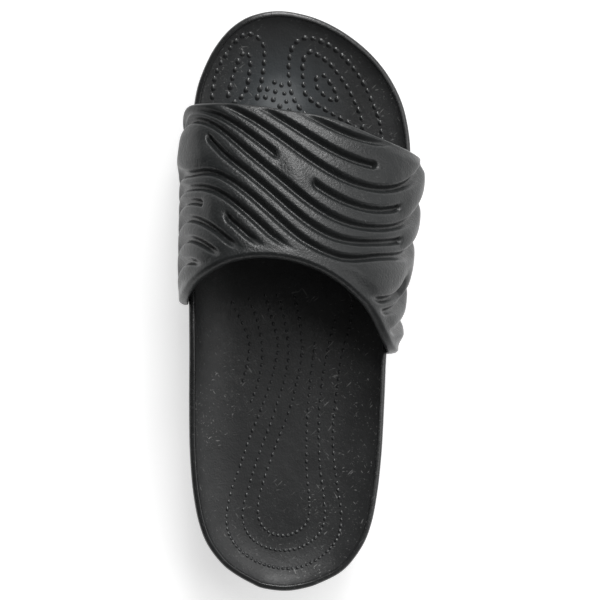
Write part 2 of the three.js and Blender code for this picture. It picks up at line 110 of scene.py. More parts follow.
# Studs: the heel's are smaller and closer together, most of all behind HEEL_LOOPS
STUD_PITCH = 4.1
STUD_HALF_LENGTH = 1.6
STUD_HALF_WIDTH = 1.22
STUD_HEIGHT = 0.66
HEEL_LOOPS = 36.0
HEEL_LOOPS_FADE = 12.0

# ---------------------------------------------------------------- shares and powers
LEG_SHARE = 0.18
HEM_SHARE = 0.7
ARCH_SQUARENESS = 2.35
SIDE_LIFT = 0.3
GROOVE_STEEPNESS = 1.25
SWELL_SHARE = 0.28
RIPPLE_SLANT = 0.1
MEANDER_SHIFT = 0.06
MEANDER_MIDDLE = 0.54
LEAST_SLOPE = 0.35
STRAP_SIDE_START = 0.5
STRAP_SIDE_BLEND = 0.22
FORE_STUDS = 0.6
HEEL_STUD_SHARE = 0.64
HEEL_PITCH_SHARE = 0.84
HEEL_CROWDING = 0.55
STUD_CLEARANCE = 0.48

# ---------------------------------------------------------------- tables
# The rim's outline from above, anticlockwise from the heel: (share of SOLE_LENGTH,
# share of BALL_WIDTH)
RIM_OUTLINE = [
    (0, 0.005), (0.0057, 0.102), (0.0126, 0.153), (0.0297, 0.241), (0.0468, 0.289), (0.0811, 0.349),
    (0.1153, 0.382), (0.1665, 0.408), (0.2345, 0.428), (0.32, 0.442), (0.41, 0.455), (0.48, 0.473),
    (0.54, 0.498), (0.6, 0.526), (0.66, 0.552), (0.72, 0.569), (0.7715, 0.57), (0.8131, 0.555),
    (0.8443, 0.533), (0.8753, 0.496), (0.9059, 0.443), (0.9364, 0.368), (0.9668, 0.26),
    (0.9871, 0.151), (0.9972, 0.052), (1, -0.02), (0.9972, -0.09), (0.9871, -0.17),
    (0.9668, -0.243), (0.9364, -0.306), (0.9059, -0.347), (0.8753, -0.377), (0.8443, -0.394),
    (0.79, -0.406), (0.71, -0.417), (0.6, -0.42), (0.5, -0.42), (0.41, -0.419), (0.32, -0.42),
    (0.2345, -0.416), (0.1665, -0.401), (0.1153, -0.375), (0.0811, -0.34), (0.0468, -0.274),
    (0.0297, -0.219), (0.0126, -0.143), (0.0057, -0.104),
]
# Footbed, heel to toe: (share of SOLE_LENGTH, share of SEAT_HEIGHT in the middle,
# share of CUP_HEIGHT that the edge rises by)
FOOTBED = [
    (0, 1, 1), (0.14, 1, 1), (0.3, 0.95, 0.86), (0.45, 0.86, 0.6), (0.6, 0.76, 0.34),
    (0.73, 0.72, 0.2), (0.86, 0.77, 0.16), (1, 0.97, 0.16),
]
# Underside and arch, as shares of SOLE_LENGTH
UNDER_HEEL, UNDER_WAIST_START, UNDER_WAIST_END, UNDER_TOE = 0.075, 0.34, 0.52, 0.7
ARCH_MIDDLE, ARCH_REACH = 0.43, 0.2
# Strap edges, inner end to outer end: (place across, front edge and rear edge as shares
# of SOLE_LENGTH)
STRAP_EDGES = [
    (-1, 0.815, 0.49), (-0.8, 0.82, 0.494), (-0.6, 0.831, 0.507), (-0.4, 0.831, 0.537),
    (-0.2, 0.827, 0.563), (0, 0.817, 0.566), (0.2, 0.803, 0.543), (0.4, 0.773, 0.491),
    (0.6, 0.754, 0.419), (0.8, 0.747, 0.408), (1, 0.744, 0.404),
]
# Grooves: (multiple of RIPPLE_PITCH, start, end across the strap as shares of STRAP_REACH)
GROOVES = [
    (1, -1.2, 1.2), (2, -1.2, 0.6), (3, -1.2, 0.02), (3, 0.2, 1.2), (4, -1.2, 0.5), (5, -1.2, -0.4),
    (5, -0.24, 1.2), (6, -1.2, 0.16), (6, 0.34, 0.62), (7, -1.2, 1.2), (8, -1.2, -0.7),
    (8, -0.36, 0.54), (9, -1.2, 1.2), (10, -1.2, -0.05), (10, 0.13, 0.5), (11, -1.2, 1.2),
    (12, -1.2, 0.36), (13, -0.4, 1.2),
]
# Smooth oval islands: (across, forward, half width, half length), as shares of the strap's
# reach and span
ISLANDS = [(-0.5, 0.81, 0.2, 0.116), (0.47, 0.3, 0.22, 0.116)]

# Rows of studs on the footbed: (closed, [(share of SOLE_LENGTH, share of BALL_WIDTH), ...])
STUD_ROWS = [
    (False, [
        (0.853, -0.315), (0.89, -0.302), (0.921, -0.263), (0.949, -0.21), (0.96, -0.168),
        (0.958, -0.13), (0.948, -0.097), (0.931, -0.085), (0.901, -0.089), (0.87, -0.102),
        (0.853, -0.115),
    ]),
    (False, [
        (0.856, -0.244), (0.891, -0.222), (0.918, -0.196), (0.93, -0.17), (0.921, -0.149),
        (0.894, -0.151), (0.863, -0.168), (0.853, -0.186), (0.844, -0.217),
    ]),
    (False, [
        (0.78, 0.445), (0.816, 0.431), (0.842, 0.404), (0.872, 0.368), (0.897, 0.327),
        (0.919, 0.278), (0.941, 0.21), (0.955, 0.11), (0.949, 0.06), (0.933, 0.034), (0.901, 0.024),
        (0.87, 0.031), (0.843, 0.058), (0.825, 0.099),
    ]),
    (True, [
        (0.92, 0.092), (0.931, 0.114), (0.928, 0.145), (0.913, 0.203), (0.891, 0.252),
        (0.868, 0.293), (0.843, 0.325), (0.817, 0.352), (0.799, 0.352), (0.815, 0.272),
        (0.827, 0.214), (0.843, 0.149), (0.858, 0.102), (0.887, 0.088),
    ]),
    (True, [
        (0.886, 0.148), (0.892, 0.177), (0.882, 0.204), (0.858, 0.24), (0.846, 0.236),
        (0.855, 0.196), (0.868, 0.156),
    ]),
    (False, [
        (0.501, 0.305), (0.462, 0.298), (0.422, 0.27), (0.394, 0.254), (0.354, 0.241),
        (0.32, 0.229), (0.272, 0.218), (0.229, 0.221), (0.172, 0.238), (0.123, 0.252),
        (0.087, 0.232), (0.058, 0.166), (0.041, 0.082), (0.037, 0.003), (0.042, -0.071),
        (0.053, -0.137), (0.072, -0.201), (0.097, -0.243), (0.124, -0.253), (0.167, -0.235),
        (0.218, -0.189), (0.26, -0.153), (0.311, -0.1), (0.373, -0.046), (0.424, -0.024),
        (0.47, -0.054), (0.508, -0.08),
    ]),
    (False, [
        (0.463, 0.229), (0.415, 0.197), (0.354, 0.17), (0.294, 0.156), (0.211, 0.16),
        (0.156, 0.177), (0.115, 0.177), (0.089, 0.141), (0.072, 0.071), (0.067, 0), (0.072, -0.075),
        (0.086, -0.136), (0.11, -0.176), (0.139, -0.18), (0.18, -0.153), (0.234, -0.109),
        (0.285, -0.06), (0.325, -0.025), (0.366, 0.007), (0.411, 0.023), (0.467, 0.003),
        (0.508, -0.027),
    ]),
    (False, [
        (0.424, 0.14), (0.354, 0.117), (0.277, 0.103), (0.201, 0.102), (0.148, 0.113),
        (0.115, 0.102), (0.099, 0.058), (0.092, 0.001), (0.099, -0.07), (0.12, -0.109),
        (0.148, -0.114), (0.179, -0.096), (0.231, -0.052), (0.268, -0.016), (0.308, 0.024),
        (0.36, 0.06), (0.411, 0.082), (0.467, 0.07), (0.505, 0.048),
    ]),
    (False, [(0.495, -0.227), (0.46, -0.183), (0.427, -0.152), (0.398, -0.157), (0.36, -0.179)]),
    (False, [
        (0.501, -0.151), (0.463, -0.116), (0.418, -0.094), (0.384, -0.099), (0.346, -0.122),
        (0.325, -0.144),
    ]),
]
# Single studs between the toe loops: (share of SOLE_LENGTH, share of BALL_WIDTH)
STUD_CLUSTER = [
    (0.879, -0.039), (0.867, -0.071), (0.863, -0.035), (0.874, -0.008), (0.853, -0.079),
    (0.849, -0.044), (0.86, 0.005), (0.846, 0.014), (0.832, 0.027), (0.838, -0.015),
]


# ---------------------------------------------------------------- curves and tables
def column(rows, k):
    """A cubic through one column of a table, against its first column."""
    x = np.array([row[0] for row in rows], float)
    y = np.array([row[k] for row in rows], float)
    last = len(x) - 1
    before = np.maximum(np.arange(last + 1) - 1, 0)
    after = np.minimum(np.arange(last + 1) + 1, last)
    slope = (y[after] - y[before]) / (x[after] - x[before])

    def value(at):
        at = np.asarray(at, float)
        i = np.clip(np.searchsorted(x, at, side="left") - 1, 0, last - 1)
        width = x[i + 1] - x[i]
        t = np.clip((at - x[i]) / width, 0, 1)
        rise = y[i + 1] - y[i]
        bend = (1 - t) * (slope[i] * width - rise) - t * (slope[i + 1] * width - rise)
        return y[i] + t * rise + t * (1 - t) * bend

    return value


def spline(points, closed=True, per=48):
    """A centripetal curve through points, sampled finely."""
    p = np.array(points, float)
    if not closed:
        p = np.vstack([2 * p[0] - p[1], p, 2 * p[-1] - p[-2]])
    n = len(p)
    t = np.linspace(0, 1, per, endpoint=False)[:, None]
    out = []
    for i in range(n) if closed else range(1, n - 2):
        p0, p1, p2, p3 = p[i - 1], p[i], p[(i + 1) % n], p[(i + 2) % n]
        d0, d1, d2 = (math.sqrt(np.linalg.norm(b - a)) for a, b in ((p0, p1), (p1, p2), (p2, p3)))
        t1 = ((p1 - p0) / d0 - (p2 - p0) / (d0 + d1) + (p2 - p1) / d1) * d1
        t2 = ((p2 - p1) / d1 - (p3 - p1) / (d1 + d2) + (p3 - p2) / d2) * d1
        bend = 3 * (p2 - p1) - 2 * t1 - t2
        twist = 2 * (p1 - p2) + t1 + t2
        out.append(p1 + t1 * t + bend * t**2 + twist * t**3)
    if not closed:
        out.append(p[-2:-1])
    return np.concatenate(out)


def spaced(points, closed, pitch=None, count=None, density=None):
    """Points evenly along a polyline, or closer together where the density is above 1."""
    loop = np.vstack([points, points[:1]]) if closed else points
    lengths = np.linalg.norm(np.diff(loop, axis=0), axis=1)
    if density is not None:
        lengths = lengths * density[: len(lengths)]
    travel = np.concatenate([[0], np.cumsum(lengths)])
    steps = count or max(1, round(travel[-1] / pitch))
    at = np.linspace(0, travel[-1], steps + 1)
    if closed:
        at = at[:-1]
    return np.stack([np.interp(at, travel, loop[:, k]) for k in range(loop.shape[1])], 1)


def smooth(value):
    """An easy rise from 0 to 1 while the value does the same."""
    t = np.clip(value, 0, 1)
    return t * t * (3 - 2 * t)


seat_of = column(FOOTBED, 1)
cup_of = column(FOOTBED, 2)
front_of = column(STRAP_EDGES, 1)
rear_of = column(STRAP_EDGES, 2)

OUTLINE = spline([(across * BALL_WIDTH, along * SOLE_LENGTH) for along, across in RIM_OUTLINE])


def halves(outline):
    """The outer and the inner side of the outline, each from heel to toe."""
    turned = np.roll(outline, -int(np.argmin(outline[:, 1])), axis=0)
    toe = int(np.argmax(turned[:, 1]))
    return turned[: toe + 1], np.vstack([turned[:1], turned[toe:][::-1]])


OUTER_SIDE, INNER_SIDE = halves(OUTLINE)


def side_at(y, side):
    """Where the outline runs on its outer (1) or inner (-1) side, at distances along the sole."""
    half = OUTER_SIDE if side > 0 else INNER_SIDE
    return np.interp(y, half[:, 1], half[:, 0])


def edge_distance(x, y):
    """How far places are from the outline, worked out some thousands at a time."""
    batch = 4000
    flat = np.stack([np.ravel(x), np.ravel(y)], 1)
    out = np.empty(len(flat))
    for k in range(0, len(flat), batch):
        part = flat[k : k + batch]
        out[k : k + batch] = np.sqrt(((part[:, None, :] - OUTLINE[None]) ** 2).sum(-1).min(1))
    return out.reshape(np.shape(x))


# ---------------------------------------------------------------- heights
def underside_height(y):
    """The underside, lifted at the heel's tip, the waist and the toe."""
    along = y / SOLE_LENGTH
    heel = np.clip(1 - along / UNDER_HEEL, 0, 1)
    toe = np.clip((along - UNDER_TOE) / (1 - UNDER_TOE), 0, 1)
    waist = np.clip((along - UNDER_WAIST_START) / (UNDER_WAIST_END - UNDER_WAIST_START), 0, 1)
    return HEEL_LIFT * heel**2 + TOE_SPRING * toe**2 + WAIST_LIFT * np.sin(np.pi * waist) ** 2


def footbed_height(x, y, from_edge):
    """The footbed: cupped towards its edge, and raised under the arch on the inner side."""
    along = y / SOLE_LENGTH
    inner = smooth(-x / ARCH_WIDTH)
    rise = ARCH_HEIGHT * inner * (1 - smooth(np.abs(along - ARCH_MIDDLE) / ARCH_REACH))
    cup = CUP_HEIGHT * cup_of(along) + rise
    return SEAT_HEIGHT * seat_of(along) + cup * np.clip(1 - from_edge / CUP_WIDTH, 0, 1) ** 2


def rim_height(x, y):
    return footbed_height(x, y, 0) + RIM_LIP


def insole_height(x, y, from_edge):
    """The footbed, curving up at its edge until it is almost level with the rim."""
    cove = (RIM_LIP - INSOLE_STEP) * np.clip(1 - from_edge / COVE_WIDTH, 0, 1) ** 2
    return footbed_height(x, y, from_edge) + cove


def side_inset(share):
    """How far the side wall lies inside the outline, at a share of its height."""
    return SIDE_DRAFT * (1 - np.clip(share, 0, 1)) ** 2


# ---------------------------------------------------------------- the frame
sole_low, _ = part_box("sole")
SHIFT = np.array([
    sole_low[0] * MM_PER_METRE - OUTLINE[:, 0].min(),
    sole_low[1] * MM_PER_METRE - OUTLINE[:, 1].min(),
    0.0,
])


def to_frame(points):
    """Points in millimetres from the heel's tip, moved into the frame in metres."""
    return (np.asarray(points, float) + SHIFT) / MM_PER_METRE


def mesh_object(name, points, faces, material, node=None):
    """A smooth-shaded piece from points in millimetres, on the shoe's one body."""
    mesh = bpy.data.meshes.new(name)
    mesh.from_pydata(to_frame(points).tolist(), [], faces)
    mesh.validate()
    mesh.update()
    piece = bpy.data.objects.new(name, mesh)
    bpy.context.scene.collection.objects.link(piece)
    mesh.materials.append(material)
    mesh.polygons.foreach_set("use_smooth", [True] * len(mesh.polygons))
    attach(piece, "root")
    if node:
        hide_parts(node)
    return piece


def zip_chains(right, left, rank):
    """Triangles between two chains of vertex numbers that run the same way.

    Seen from outside, the first chain is the one on the right.
    """
    faces = []
    r = l = 0
    while r < len(right) - 1 or l < len(left) - 1:
        more_right, more_left = r < len(right) - 1, l < len(left) - 1
        if not more_left or (more_right and rank(right[r + 1]) <= rank(left[l + 1])):
            faces.append((right[r], right[r + 1], left[l]))
            r += 1
        else:
            faces.append((right[r], left[l + 1], left[l]))
            l += 1
    return [face for face in faces if len(set(face)) == 3]


def ring_solid(rings):
    """Points and faces of a solid whose surface runs through closed rings.

    They run from the lowest ring outwards, up and in, and both ends are capped.
    """
    count = len(rings[0])
    points = np.concatenate(rings)
    faces = []
    for k in range(len(rings) - 1):
        for i in range(count):
            j = (i + 1) % count
            faces.append((k * count + i, k * count + j, (k + 1) * count + j, (k + 1) * count + i))

    def cap(k):
        numbers = list(range(k * count, (k + 1) * count))
        heel = min(range(count), key=lambda i: points[numbers[i], 1])
        turned = numbers[heel:] + numbers[:heel]
        toe = max(range(count), key=lambda i: points[turned[i], 1])
        other_side = [turned[0]] + turned[toe:][::-1]
        return zip_chains(turned[: toe + 1], other_side, lambda n: points[n, 1])

    faces += [face[::-1] for face in cap(0)] + cap(len(rings) - 1)
    return points, faces


# ---------------------------------------------------------------- materials
# Where the toes rest, in metres, and the painted sheen and highlight round it: (reach in metres,
# strength, colour)
TOE_REST = (-0.009, 0.093, 0.022)
TOE_PAINTED_SHEEN = [(0.04, 1.0, (0.056, 0.064, 0.069)), (0.017, 0.85, (0.2, 0.21, 0.215))]
# Hairline scuffs: (turn in radians, length as a multiple of the width)
SCUFFS = [(0.6, 6), (-0.8, 8), (1.75, 4.5)]
# Noises: (scale, detail, roughness), and between which of its values each one's ramp rises
CLOUDS, CLOUD_STOPS = (55, 4, 0.6), (0.3, 0.72)
SPECKS, SPECK_STOPS = (900, 3, 0.7), (0.63, 0.72)
PATCHES, PATCH_STOPS = (26, 2, 0.5), (0.42, 0.62)
HAIRS, HAIR_STOPS = (1150, 1, 0.5), (0.71, 0.78)
GLOSS, GLOSS_STOPS = (140, 5, 0.65), (0.3, 0.7)
WAVES = (210, 3, 0.5)
WAVE_STRENGTH, WAVE_DEPTH = 0.35, 0.0006
# Grain between the pebbles: its scale as a multiple of theirs, detail, roughness and share
GRAIN_SCALE, GRAIN_DETAIL, GRAIN_ROUGHNESS, GRAIN_SHARE = 1.7, 3, 0.6, 0.45
PEBBLE_STRENGTH = 0.55
DUST_COLOUR = (0.175, 0.175, 0.172)
FOAM_IOR = 1.45
# A Mix node's sockets when it mixes colours: factor, first colour, second colour, and result
MIX_INPUTS, MIX_OUTPUT = (0, 6, 7), 2


def map_range(tree, source, spans, kind="LINEAR"):
    """A value that follows the source, as spans say.

    They are the source's value at either end, and then the result's.
    """
    node = tree.nodes.new("ShaderNodeMapRange")
    node.interpolation_type = kind
    for socket, value in zip(("From Min", "From Max", "To Min", "To Max"), spans):
        node.inputs[socket].default_value = value
    tree.links.new(source, node.inputs["Value"])
    return node.outputs["Result"]


def foam_material(name, dark, light, roughness, pebble, pebble_depth, dust, shine, painted_sheen=0.0):
    """Moulded closed-cell foam, near-black and faintly clouded, with a pebbled skin.

    dust is how strongly its dust and hairline scuffs show, shine its specular level, and the last
    argument how strongly a pale bluish sheen is painted where the toes rest.
    """
    material = bpy.data.materials.new(name)
    material.use_nodes = True
    tree = material.node_tree
    nodes, links = tree.nodes, tree.links
    shader = nodes["Principled BSDF"]
    place = nodes.new("ShaderNodeTexCoord").outputs["Object"]

    def noise(scale, detail, rough, vector=place):
        node = nodes.new("ShaderNodeTexNoise")
        node.inputs["Scale"].default_value = scale
        node.inputs["Detail"].default_value = detail
        node.inputs["Roughness"].default_value = rough
        links.new(vector, node.inputs["Vector"])
        return node.outputs["Fac"]

    def ramp(source, stops, low=(0, 0, 0), high=(1, 1, 1)):
        node = nodes.new("ShaderNodeValToRGB")
        for element, position, colour in zip(node.color_ramp.elements, stops, (low, high)):
            element.position = position
            element.color = (*colour, 1)
        links.new(source, node.inputs["Fac"])
        return node.outputs["Color"]

    def mix(kind, *values):
        """Mixes two colours or outputs by a number or an output, which comes first."""
        node = nodes.new("ShaderNodeMix")
        node.data_type = "RGBA"
        node.blend_type = kind
        for socket, value in zip(MIX_INPUTS, values):
            if isinstance(value, (int, float)):
                node.inputs[socket].default_value = value
            elif isinstance(value, tuple):
                node.inputs[socket].default_value = (*value, 1)
            else:
                links.new(value, node.inputs[socket])
        return node.outputs[MIX_OUTPUT]

    def scuffs(turn, stretch):
        """Short hairlines that all run one way."""
        turned = nodes.new("ShaderNodeMapping")
        turned.vector_type = "TEXTURE"
        turned.inputs["Rotation"].default_value = (0, 0, turn)
        turned.inputs["Scale"].default_value = (1, stretch, 1)
        links.new(place, turned.inputs["Vector"])
        return ramp(noise(*HAIRS, turned.outputs["Vector"]), HAIR_STOPS)

    def bump(height, strength, depth):
        node = nodes.new("ShaderNodeBump")
        node.inputs["Strength"].default_value = strength
        node.inputs["Distance"].default_value = depth
        links.new(height, node.inputs["Height"])
        return node

    colour = ramp(noise(*CLOUDS), CLOUD_STOPS, dark, light)
    # Painted sheen: the colour pales towards a bluish tint round where the toes rest, with a small
    # painted highlight in the middle
    for reach, share, tint in TOE_PAINTED_SHEEN if painted_sheen else ():
        near = nodes.new("ShaderNodeVectorMath")
        near.operation = "DISTANCE"
        near.inputs[1].default_value = TOE_REST
        links.new(place, near.inputs[0])
        spans = (reach, 0.0, 0.0, painted_sheen * share)
        fade = map_range(tree, near.outputs["Value"], spans, "SMOOTHERSTEP")
        colour = mix("MIX", fade, colour, tint)
    marks = ramp(noise(*SPECKS), SPECK_STOPS)
    patches = ramp(noise(*PATCHES), PATCH_STOPS)
    for turn, stretch in SCUFFS:
        marks = mix("LIGHTEN", 1.0, marks, scuffs(turn, stretch))
    amount = nodes.new("ShaderNodeMath")
    amount.operation = "MULTIPLY"
    amount.inputs[1].default_value = dust
    links.new(mix("MULTIPLY", 1.0, marks, patches), amount.inputs[0])
    links.new(mix("MIX", amount.outputs[0], colour, DUST_COLOUR), shader.inputs["Base Color"])

    low, high = ((value,) * 3 for value in roughness)
    links.new(ramp(noise(*GLOSS), GLOSS_STOPS, low, high), shader.inputs["Roughness"])

    cells = nodes.new("ShaderNodeTexVoronoi")
    cells.feature = "SMOOTH_F1"
    cells.inputs["Scale"].default_value = pebble
    links.new(place, cells.inputs["Vector"])
    fine = noise(pebble * GRAIN_SCALE, GRAIN_DETAIL, GRAIN_ROUGHNESS)
    grain = mix("MIX", GRAIN_SHARE, cells.outputs["Distance"], fine)
    pebbles = bump(grain, PEBBLE_STRENGTH, pebble_depth)
    waves = bump(noise(*WAVES), WAVE_STRENGTH, WAVE_DEPTH)
    links.new(pebbles.outputs["Normal"], waves.inputs["Normal"])
    links.new(waves.outputs["Normal"], shader.inputs["Normal"])
    shader.inputs["IOR"].default_value = FOAM_IOR
    shader.inputs["Specular IOR Level"].default_value = shine
    return material


strap_foam = foam_material(
    "strap_foam",
    dark=(0.0112, 0.0124, 0.0127),
    light=(0.0178, 0.0194, 0.0198),
    roughness=(0.28, 0.38),
    pebble=1050,
    pebble_depth=0.00036,
    dust=0.3,
    shine=0.5,
)
bed_foam = foam_material(
    "insole_foam",
    dark=(0.0172, 0.0178, 0.0182),
    light=(0.0266, 0.0274, 0.0279),
    roughness=(0.4, 0.54),
    pebble=1150,
    pebble_depth=0.00022,
    dust=1.0,
    shine=0.5,
    # a painted sheen where the toes rest
    painted_sheen=0.9,
)
stud_foam = foam_material(
    "stud_foam",
    dark=(0.018, 0.019, 0.0195),
    light=(0.028, 0.029, 0.0295),
    roughness=(0.22, 0.3),
    pebble=1250,
    pebble_depth=0.00004,
    dust=0.6,
    shine=0.5,
    # a little of the painted sheen, so the studs stay darker than the painted highlight round them
    painted_sheen=0.12,
)
sole_foam = foam_material(
    "sole_foam",
    dark=(0.0115, 0.012, 0.0123),
    light=(0.0195, 0.0205, 0.021),
    roughness=(0.23, 0.33),
    pebble=1200,
    pebble_depth=0.00014,
    dust=0.45,
    shine=0.85,
)


# ---------------------------------------------------------------- sole and insole
RIM_POINTS = 420
# Rings of the sole: round its foot, up its side, over its rim and down into the bed
FOOT_RINGS, SIDE_RINGS, RIM_RINGS, LIP_RINGS = 7, 10, 8, 5
# The side's rings lie between these shares of its height
SIDE_START, SIDE_END = 0.22, 0.9
# Inset at the top of the foot's rounding, and what it gains to the floor, in SIDE_DRAFTs
FOOT_INSET, FOOT_INSET_GAIN = 0.9, 0.1
# The footbed's middle line, as shares of SOLE_LENGTH
SPINE_START, SPINE_END = 0.17, 0.83
# Rings between a bed's edge (1) and that line (0)
BED_SHARES = (1, 0.8, 0.55, 0.28)
INSOLE_SHARES = [
    1, 0.99, 0.98, 0.968, 0.955, 0.94, 0.91, 0.88, 0.85, 0.82, 0.78, 0.74, 0.7, 0.65, 0.6, 0.54,
    0.47, 0.39, 0.3, 0.2,
]
INSOLE_ROUND_RINGS = 5
# How far back the ends of a tread bar reach, in TREAD_CHEVRONs, and the points along it
TREAD_SWEEP = 0.45
BAR_POINTS, BAR_END_POINTS = 15, 9
# Edges steeper than this many degrees stay sharp
SOLE_CREASE, STRAP_CREASE = 50, 60

rim = spaced(OUTLINE, True, count=RIM_POINTS)
ahead, behind = np.roll(rim, -1, axis=0), np.roll(rim, 1, axis=0)
rim_normals = np.stack([ahead[:, 1] - behind[:, 1], behind[:, 0] - ahead[:, 0]], 1)
rim_normals /= np.linalg.norm(rim_normals, axis=1, keepdims=True)
rim_top = rim_height(rim[:, 0], rim[:, 1])
rim_floor = underside_height(rim[:, 1])


def inset_ring(distance, height):
    """The rim's outline drawn in by a distance, at a height."""
    flat = rim - rim_normals * np.reshape(distance, (-1, 1))
    return np.column_stack([flat, np.broadcast_to(height, len(flat))])


def low_ring(distance, lift):
    """The rim's outline drawn in by a distance, at a lift above the underside."""
    flat = rim - rim_normals * distance
    return np.column_stack([flat, underside_height(flat[:, 1]) + lift])


def bed_rings(distance, thickness, shares):
    """Rings from one at a distance inside the outline towards the footbed's middle line."""
    start = rim - rim_normals * distance
    rings = []
    for share in shares:
        y = np.clip(start[:, 1], SPINE_START * SOLE_LENGTH, SPINE_END * SOLE_LENGTH)
        spine = np.stack([(side_at(y, 1) + side_at(y, -1)) / 2, y], 1)
        flat = spine + (start - spine) * share
        from_edge = edge_distance(flat[:, 0], flat[:, 1]) - RIM_WIDTH
        height = insole_height if thickness == 0 else footbed_height
        rings.append(np.column_stack([flat, height(flat[:, 0], flat[:, 1], from_edge) - thickness]))
    return rings


def sole_rings():
    """The sole's surface, from its foot up the side and over the rim into the insole's bed."""
    rings = []
    for turn in np.linspace(0, 1, FOOT_RINGS):
        angle = turn * math.pi / 2
        rounding = FOOT_ROUND * (1 - math.sin(angle))
        gain = SIDE_DRAFT * FOOT_INSET_GAIN * (1 - turn)
        distance = SIDE_DRAFT * FOOT_INSET + rounding + gain
        rings.append(low_ring(distance, FOOT_ROUND * (1 - math.cos(angle))))
    for share in np.linspace(SIDE_START, SIDE_END, SIDE_RINGS):
        rings.append(inset_ring(side_inset(share), rim_floor + (rim_top - rim_floor) * share))
    for turn in np.linspace(0, 1, RIM_RINGS):
        angle = turn * math.pi / 2
        distance = RIM_ROUND_WIDTH * (1 - math.cos(angle))
        rings.append(inset_ring(distance, rim_top - RIM_ROUND * (1 - math.sin(angle))))
    for turn in np.linspace(0, 1, LIP_RINGS):
        angle = turn * math.pi / 2
        distance = RIM_WIDTH - RIM_INNER_ROUND * (1 - math.sin(angle))
        rings.append(inset_ring(distance, rim_top - RIM_INNER_ROUND * (1 - math.cos(angle))))
    return rings + bed_rings(RIM_WIDTH, INSOLE_THICKNESS + BED_GAP, BED_SHARES)


def chevron_bar(y):
    """One tread groove's cutter: a bent bar with rounded ends, across the sole."""
    low, high = y - TREAD_CHEVRON * TREAD_SWEEP, y + TREAD_WIDTH
    left = max(float(side_at(low, -1)), float(side_at(high, -1))) + TREAD_MARGIN
    right = min(float(side_at(low, 1)), float(side_at(high, 1))) - TREAD_MARGIN
    half = TREAD_WIDTH / 2

    def bend(x):
        return y + half - TREAD_CHEVRON * abs(x) / BALL_WIDTH

    xs = np.linspace(left, right, BAR_POINTS)
    xs = np.sort(np.append(xs, 0.0)) if left < 0 < right else xs
    upper = [(x, bend(x) + half) for x in xs]
    lower = [(x, bend(x) - half) for x in xs][::-1]
    turns = np.linspace(0, math.pi, BAR_END_POINTS)[1:-1]
    end = [(right + half * math.sin(a), bend(right) + half * math.cos(a)) for a in turns]
    start = [(left - half * math.sin(a), bend(left) - half * math.cos(a)) for a in turns]
    loop = (upper + end + lower + start)[::-1]
    count = len(loop)
    points = [(*place, height) for height in (-CUTTER_DROP, TREAD_DEPTH) for place in loop]
    sides = [(i, (i + 1) % count, count + (i + 1) % count, count + i) for i in range(count)]
    return points, [tuple(range(count))[::-1], tuple(range(count, 2 * count))] + sides


def cut_tread(sole):
    """Cuts the grooves into the flat stretches of the underside."""
    toe_end = 2 * UNDER_TOE - (UNDER_TOE + UNDER_WAIST_END) / 2
    points, faces = [], []
    for start, end in ((UNDER_HEEL, UNDER_WAIST_START), (UNDER_WAIST_END, toe_end)):
        length = (end - start) * SOLE_LENGTH
        count = int(length // TREAD_PITCH)
        for i in range(count):
            bar, sides = chevron_bar(start * SOLE_LENGTH + (i + 0.5) * length / count)
            faces += [tuple(len(points) + k for k in face) for face in sides]
            points += bar
    mesh = bpy.data.meshes.new("tread_cutter")
    mesh.from_pydata(to_frame(points).tolist(), [], faces)
    cutter = bpy.data.objects.new("tread_cutter", mesh)
    bpy.context.scene.collection.objects.link(cutter)
    modifier = sole.modifiers.new("tread", "BOOLEAN")
    modifier.operation = "DIFFERENCE"
    modifier.object = cutter
    modifier.solver = "EXACT"
    graph = bpy.context.evaluated_depsgraph_get()
    result = bpy.data.meshes.new_from_object(sole.evaluated_get(graph))
    sole.modifiers.clear()
    old, sole.data = sole.data, result
    bpy.data.meshes.remove(old)
    bpy.data.objects.remove(cutter)
    bpy.data.meshes.remove(mesh)
    sole.data.polygons.foreach_set("use_smooth", [True] * len(sole.data.polygons))


def sharpen(piece, degrees):
    """Keeps edges steeper than an angle sharp and the rest smooth."""
    piece.data.set_sharp_from_angle(angle=math.radians(degrees))


points, faces = ring_solid(sole_rings())
sole = mesh_object("sole_foam_body", points, faces, sole_foam, "sole")
cut_tread(sole)
sharpen(sole, SOLE_CREASE)


def insole_rings():
    """The footbed pad's surface, from the middle of its underside round its edge to the top."""
    edge = RIM_WIDTH + INSOLE_GAP
    under = bed_rings(edge, INSOLE_THICKNESS, BED_SHARES)[::-1]
    flat = rim - rim_normals * edge
    top = insole_height(flat[:, 0], flat[:, 1], 0)
    rounding = []
    for turn in np.linspace(0, 1, INSOLE_ROUND_RINGS)[:-1]:
        angle = turn * math.pi / 2
        distance = edge + INSOLE_ROUND * (1 - math.cos(angle))
        rounding.append(inset_ring(distance, top - INSOLE_ROUND * (1 - math.sin(angle))))
    return under + rounding + bed_rings(edge + INSOLE_ROUND, 0, INSOLE_SHARES)


points, faces = ring_solid(insole_rings())
insole = mesh_object("footbed", points, faces, bed_foam, "insole")


# ---------------------------------------------------------------- studs
ROW_SAMPLES = 16
# A stud's rings as shares of its half width, from its foot, which is sunk, towards its tip
STUD_RINGS = np.array([1.12, 0.98, 0.86, 0.74, 0.62, 0.5, 0.37, 0.24, 0.12])
STUD_SINK = -0.12
STUD_ROUNDNESS = 1.3
STUD_SIDES = 14
STUD_SIZES = (0.84, 1.1)
STUD_SEED = 7


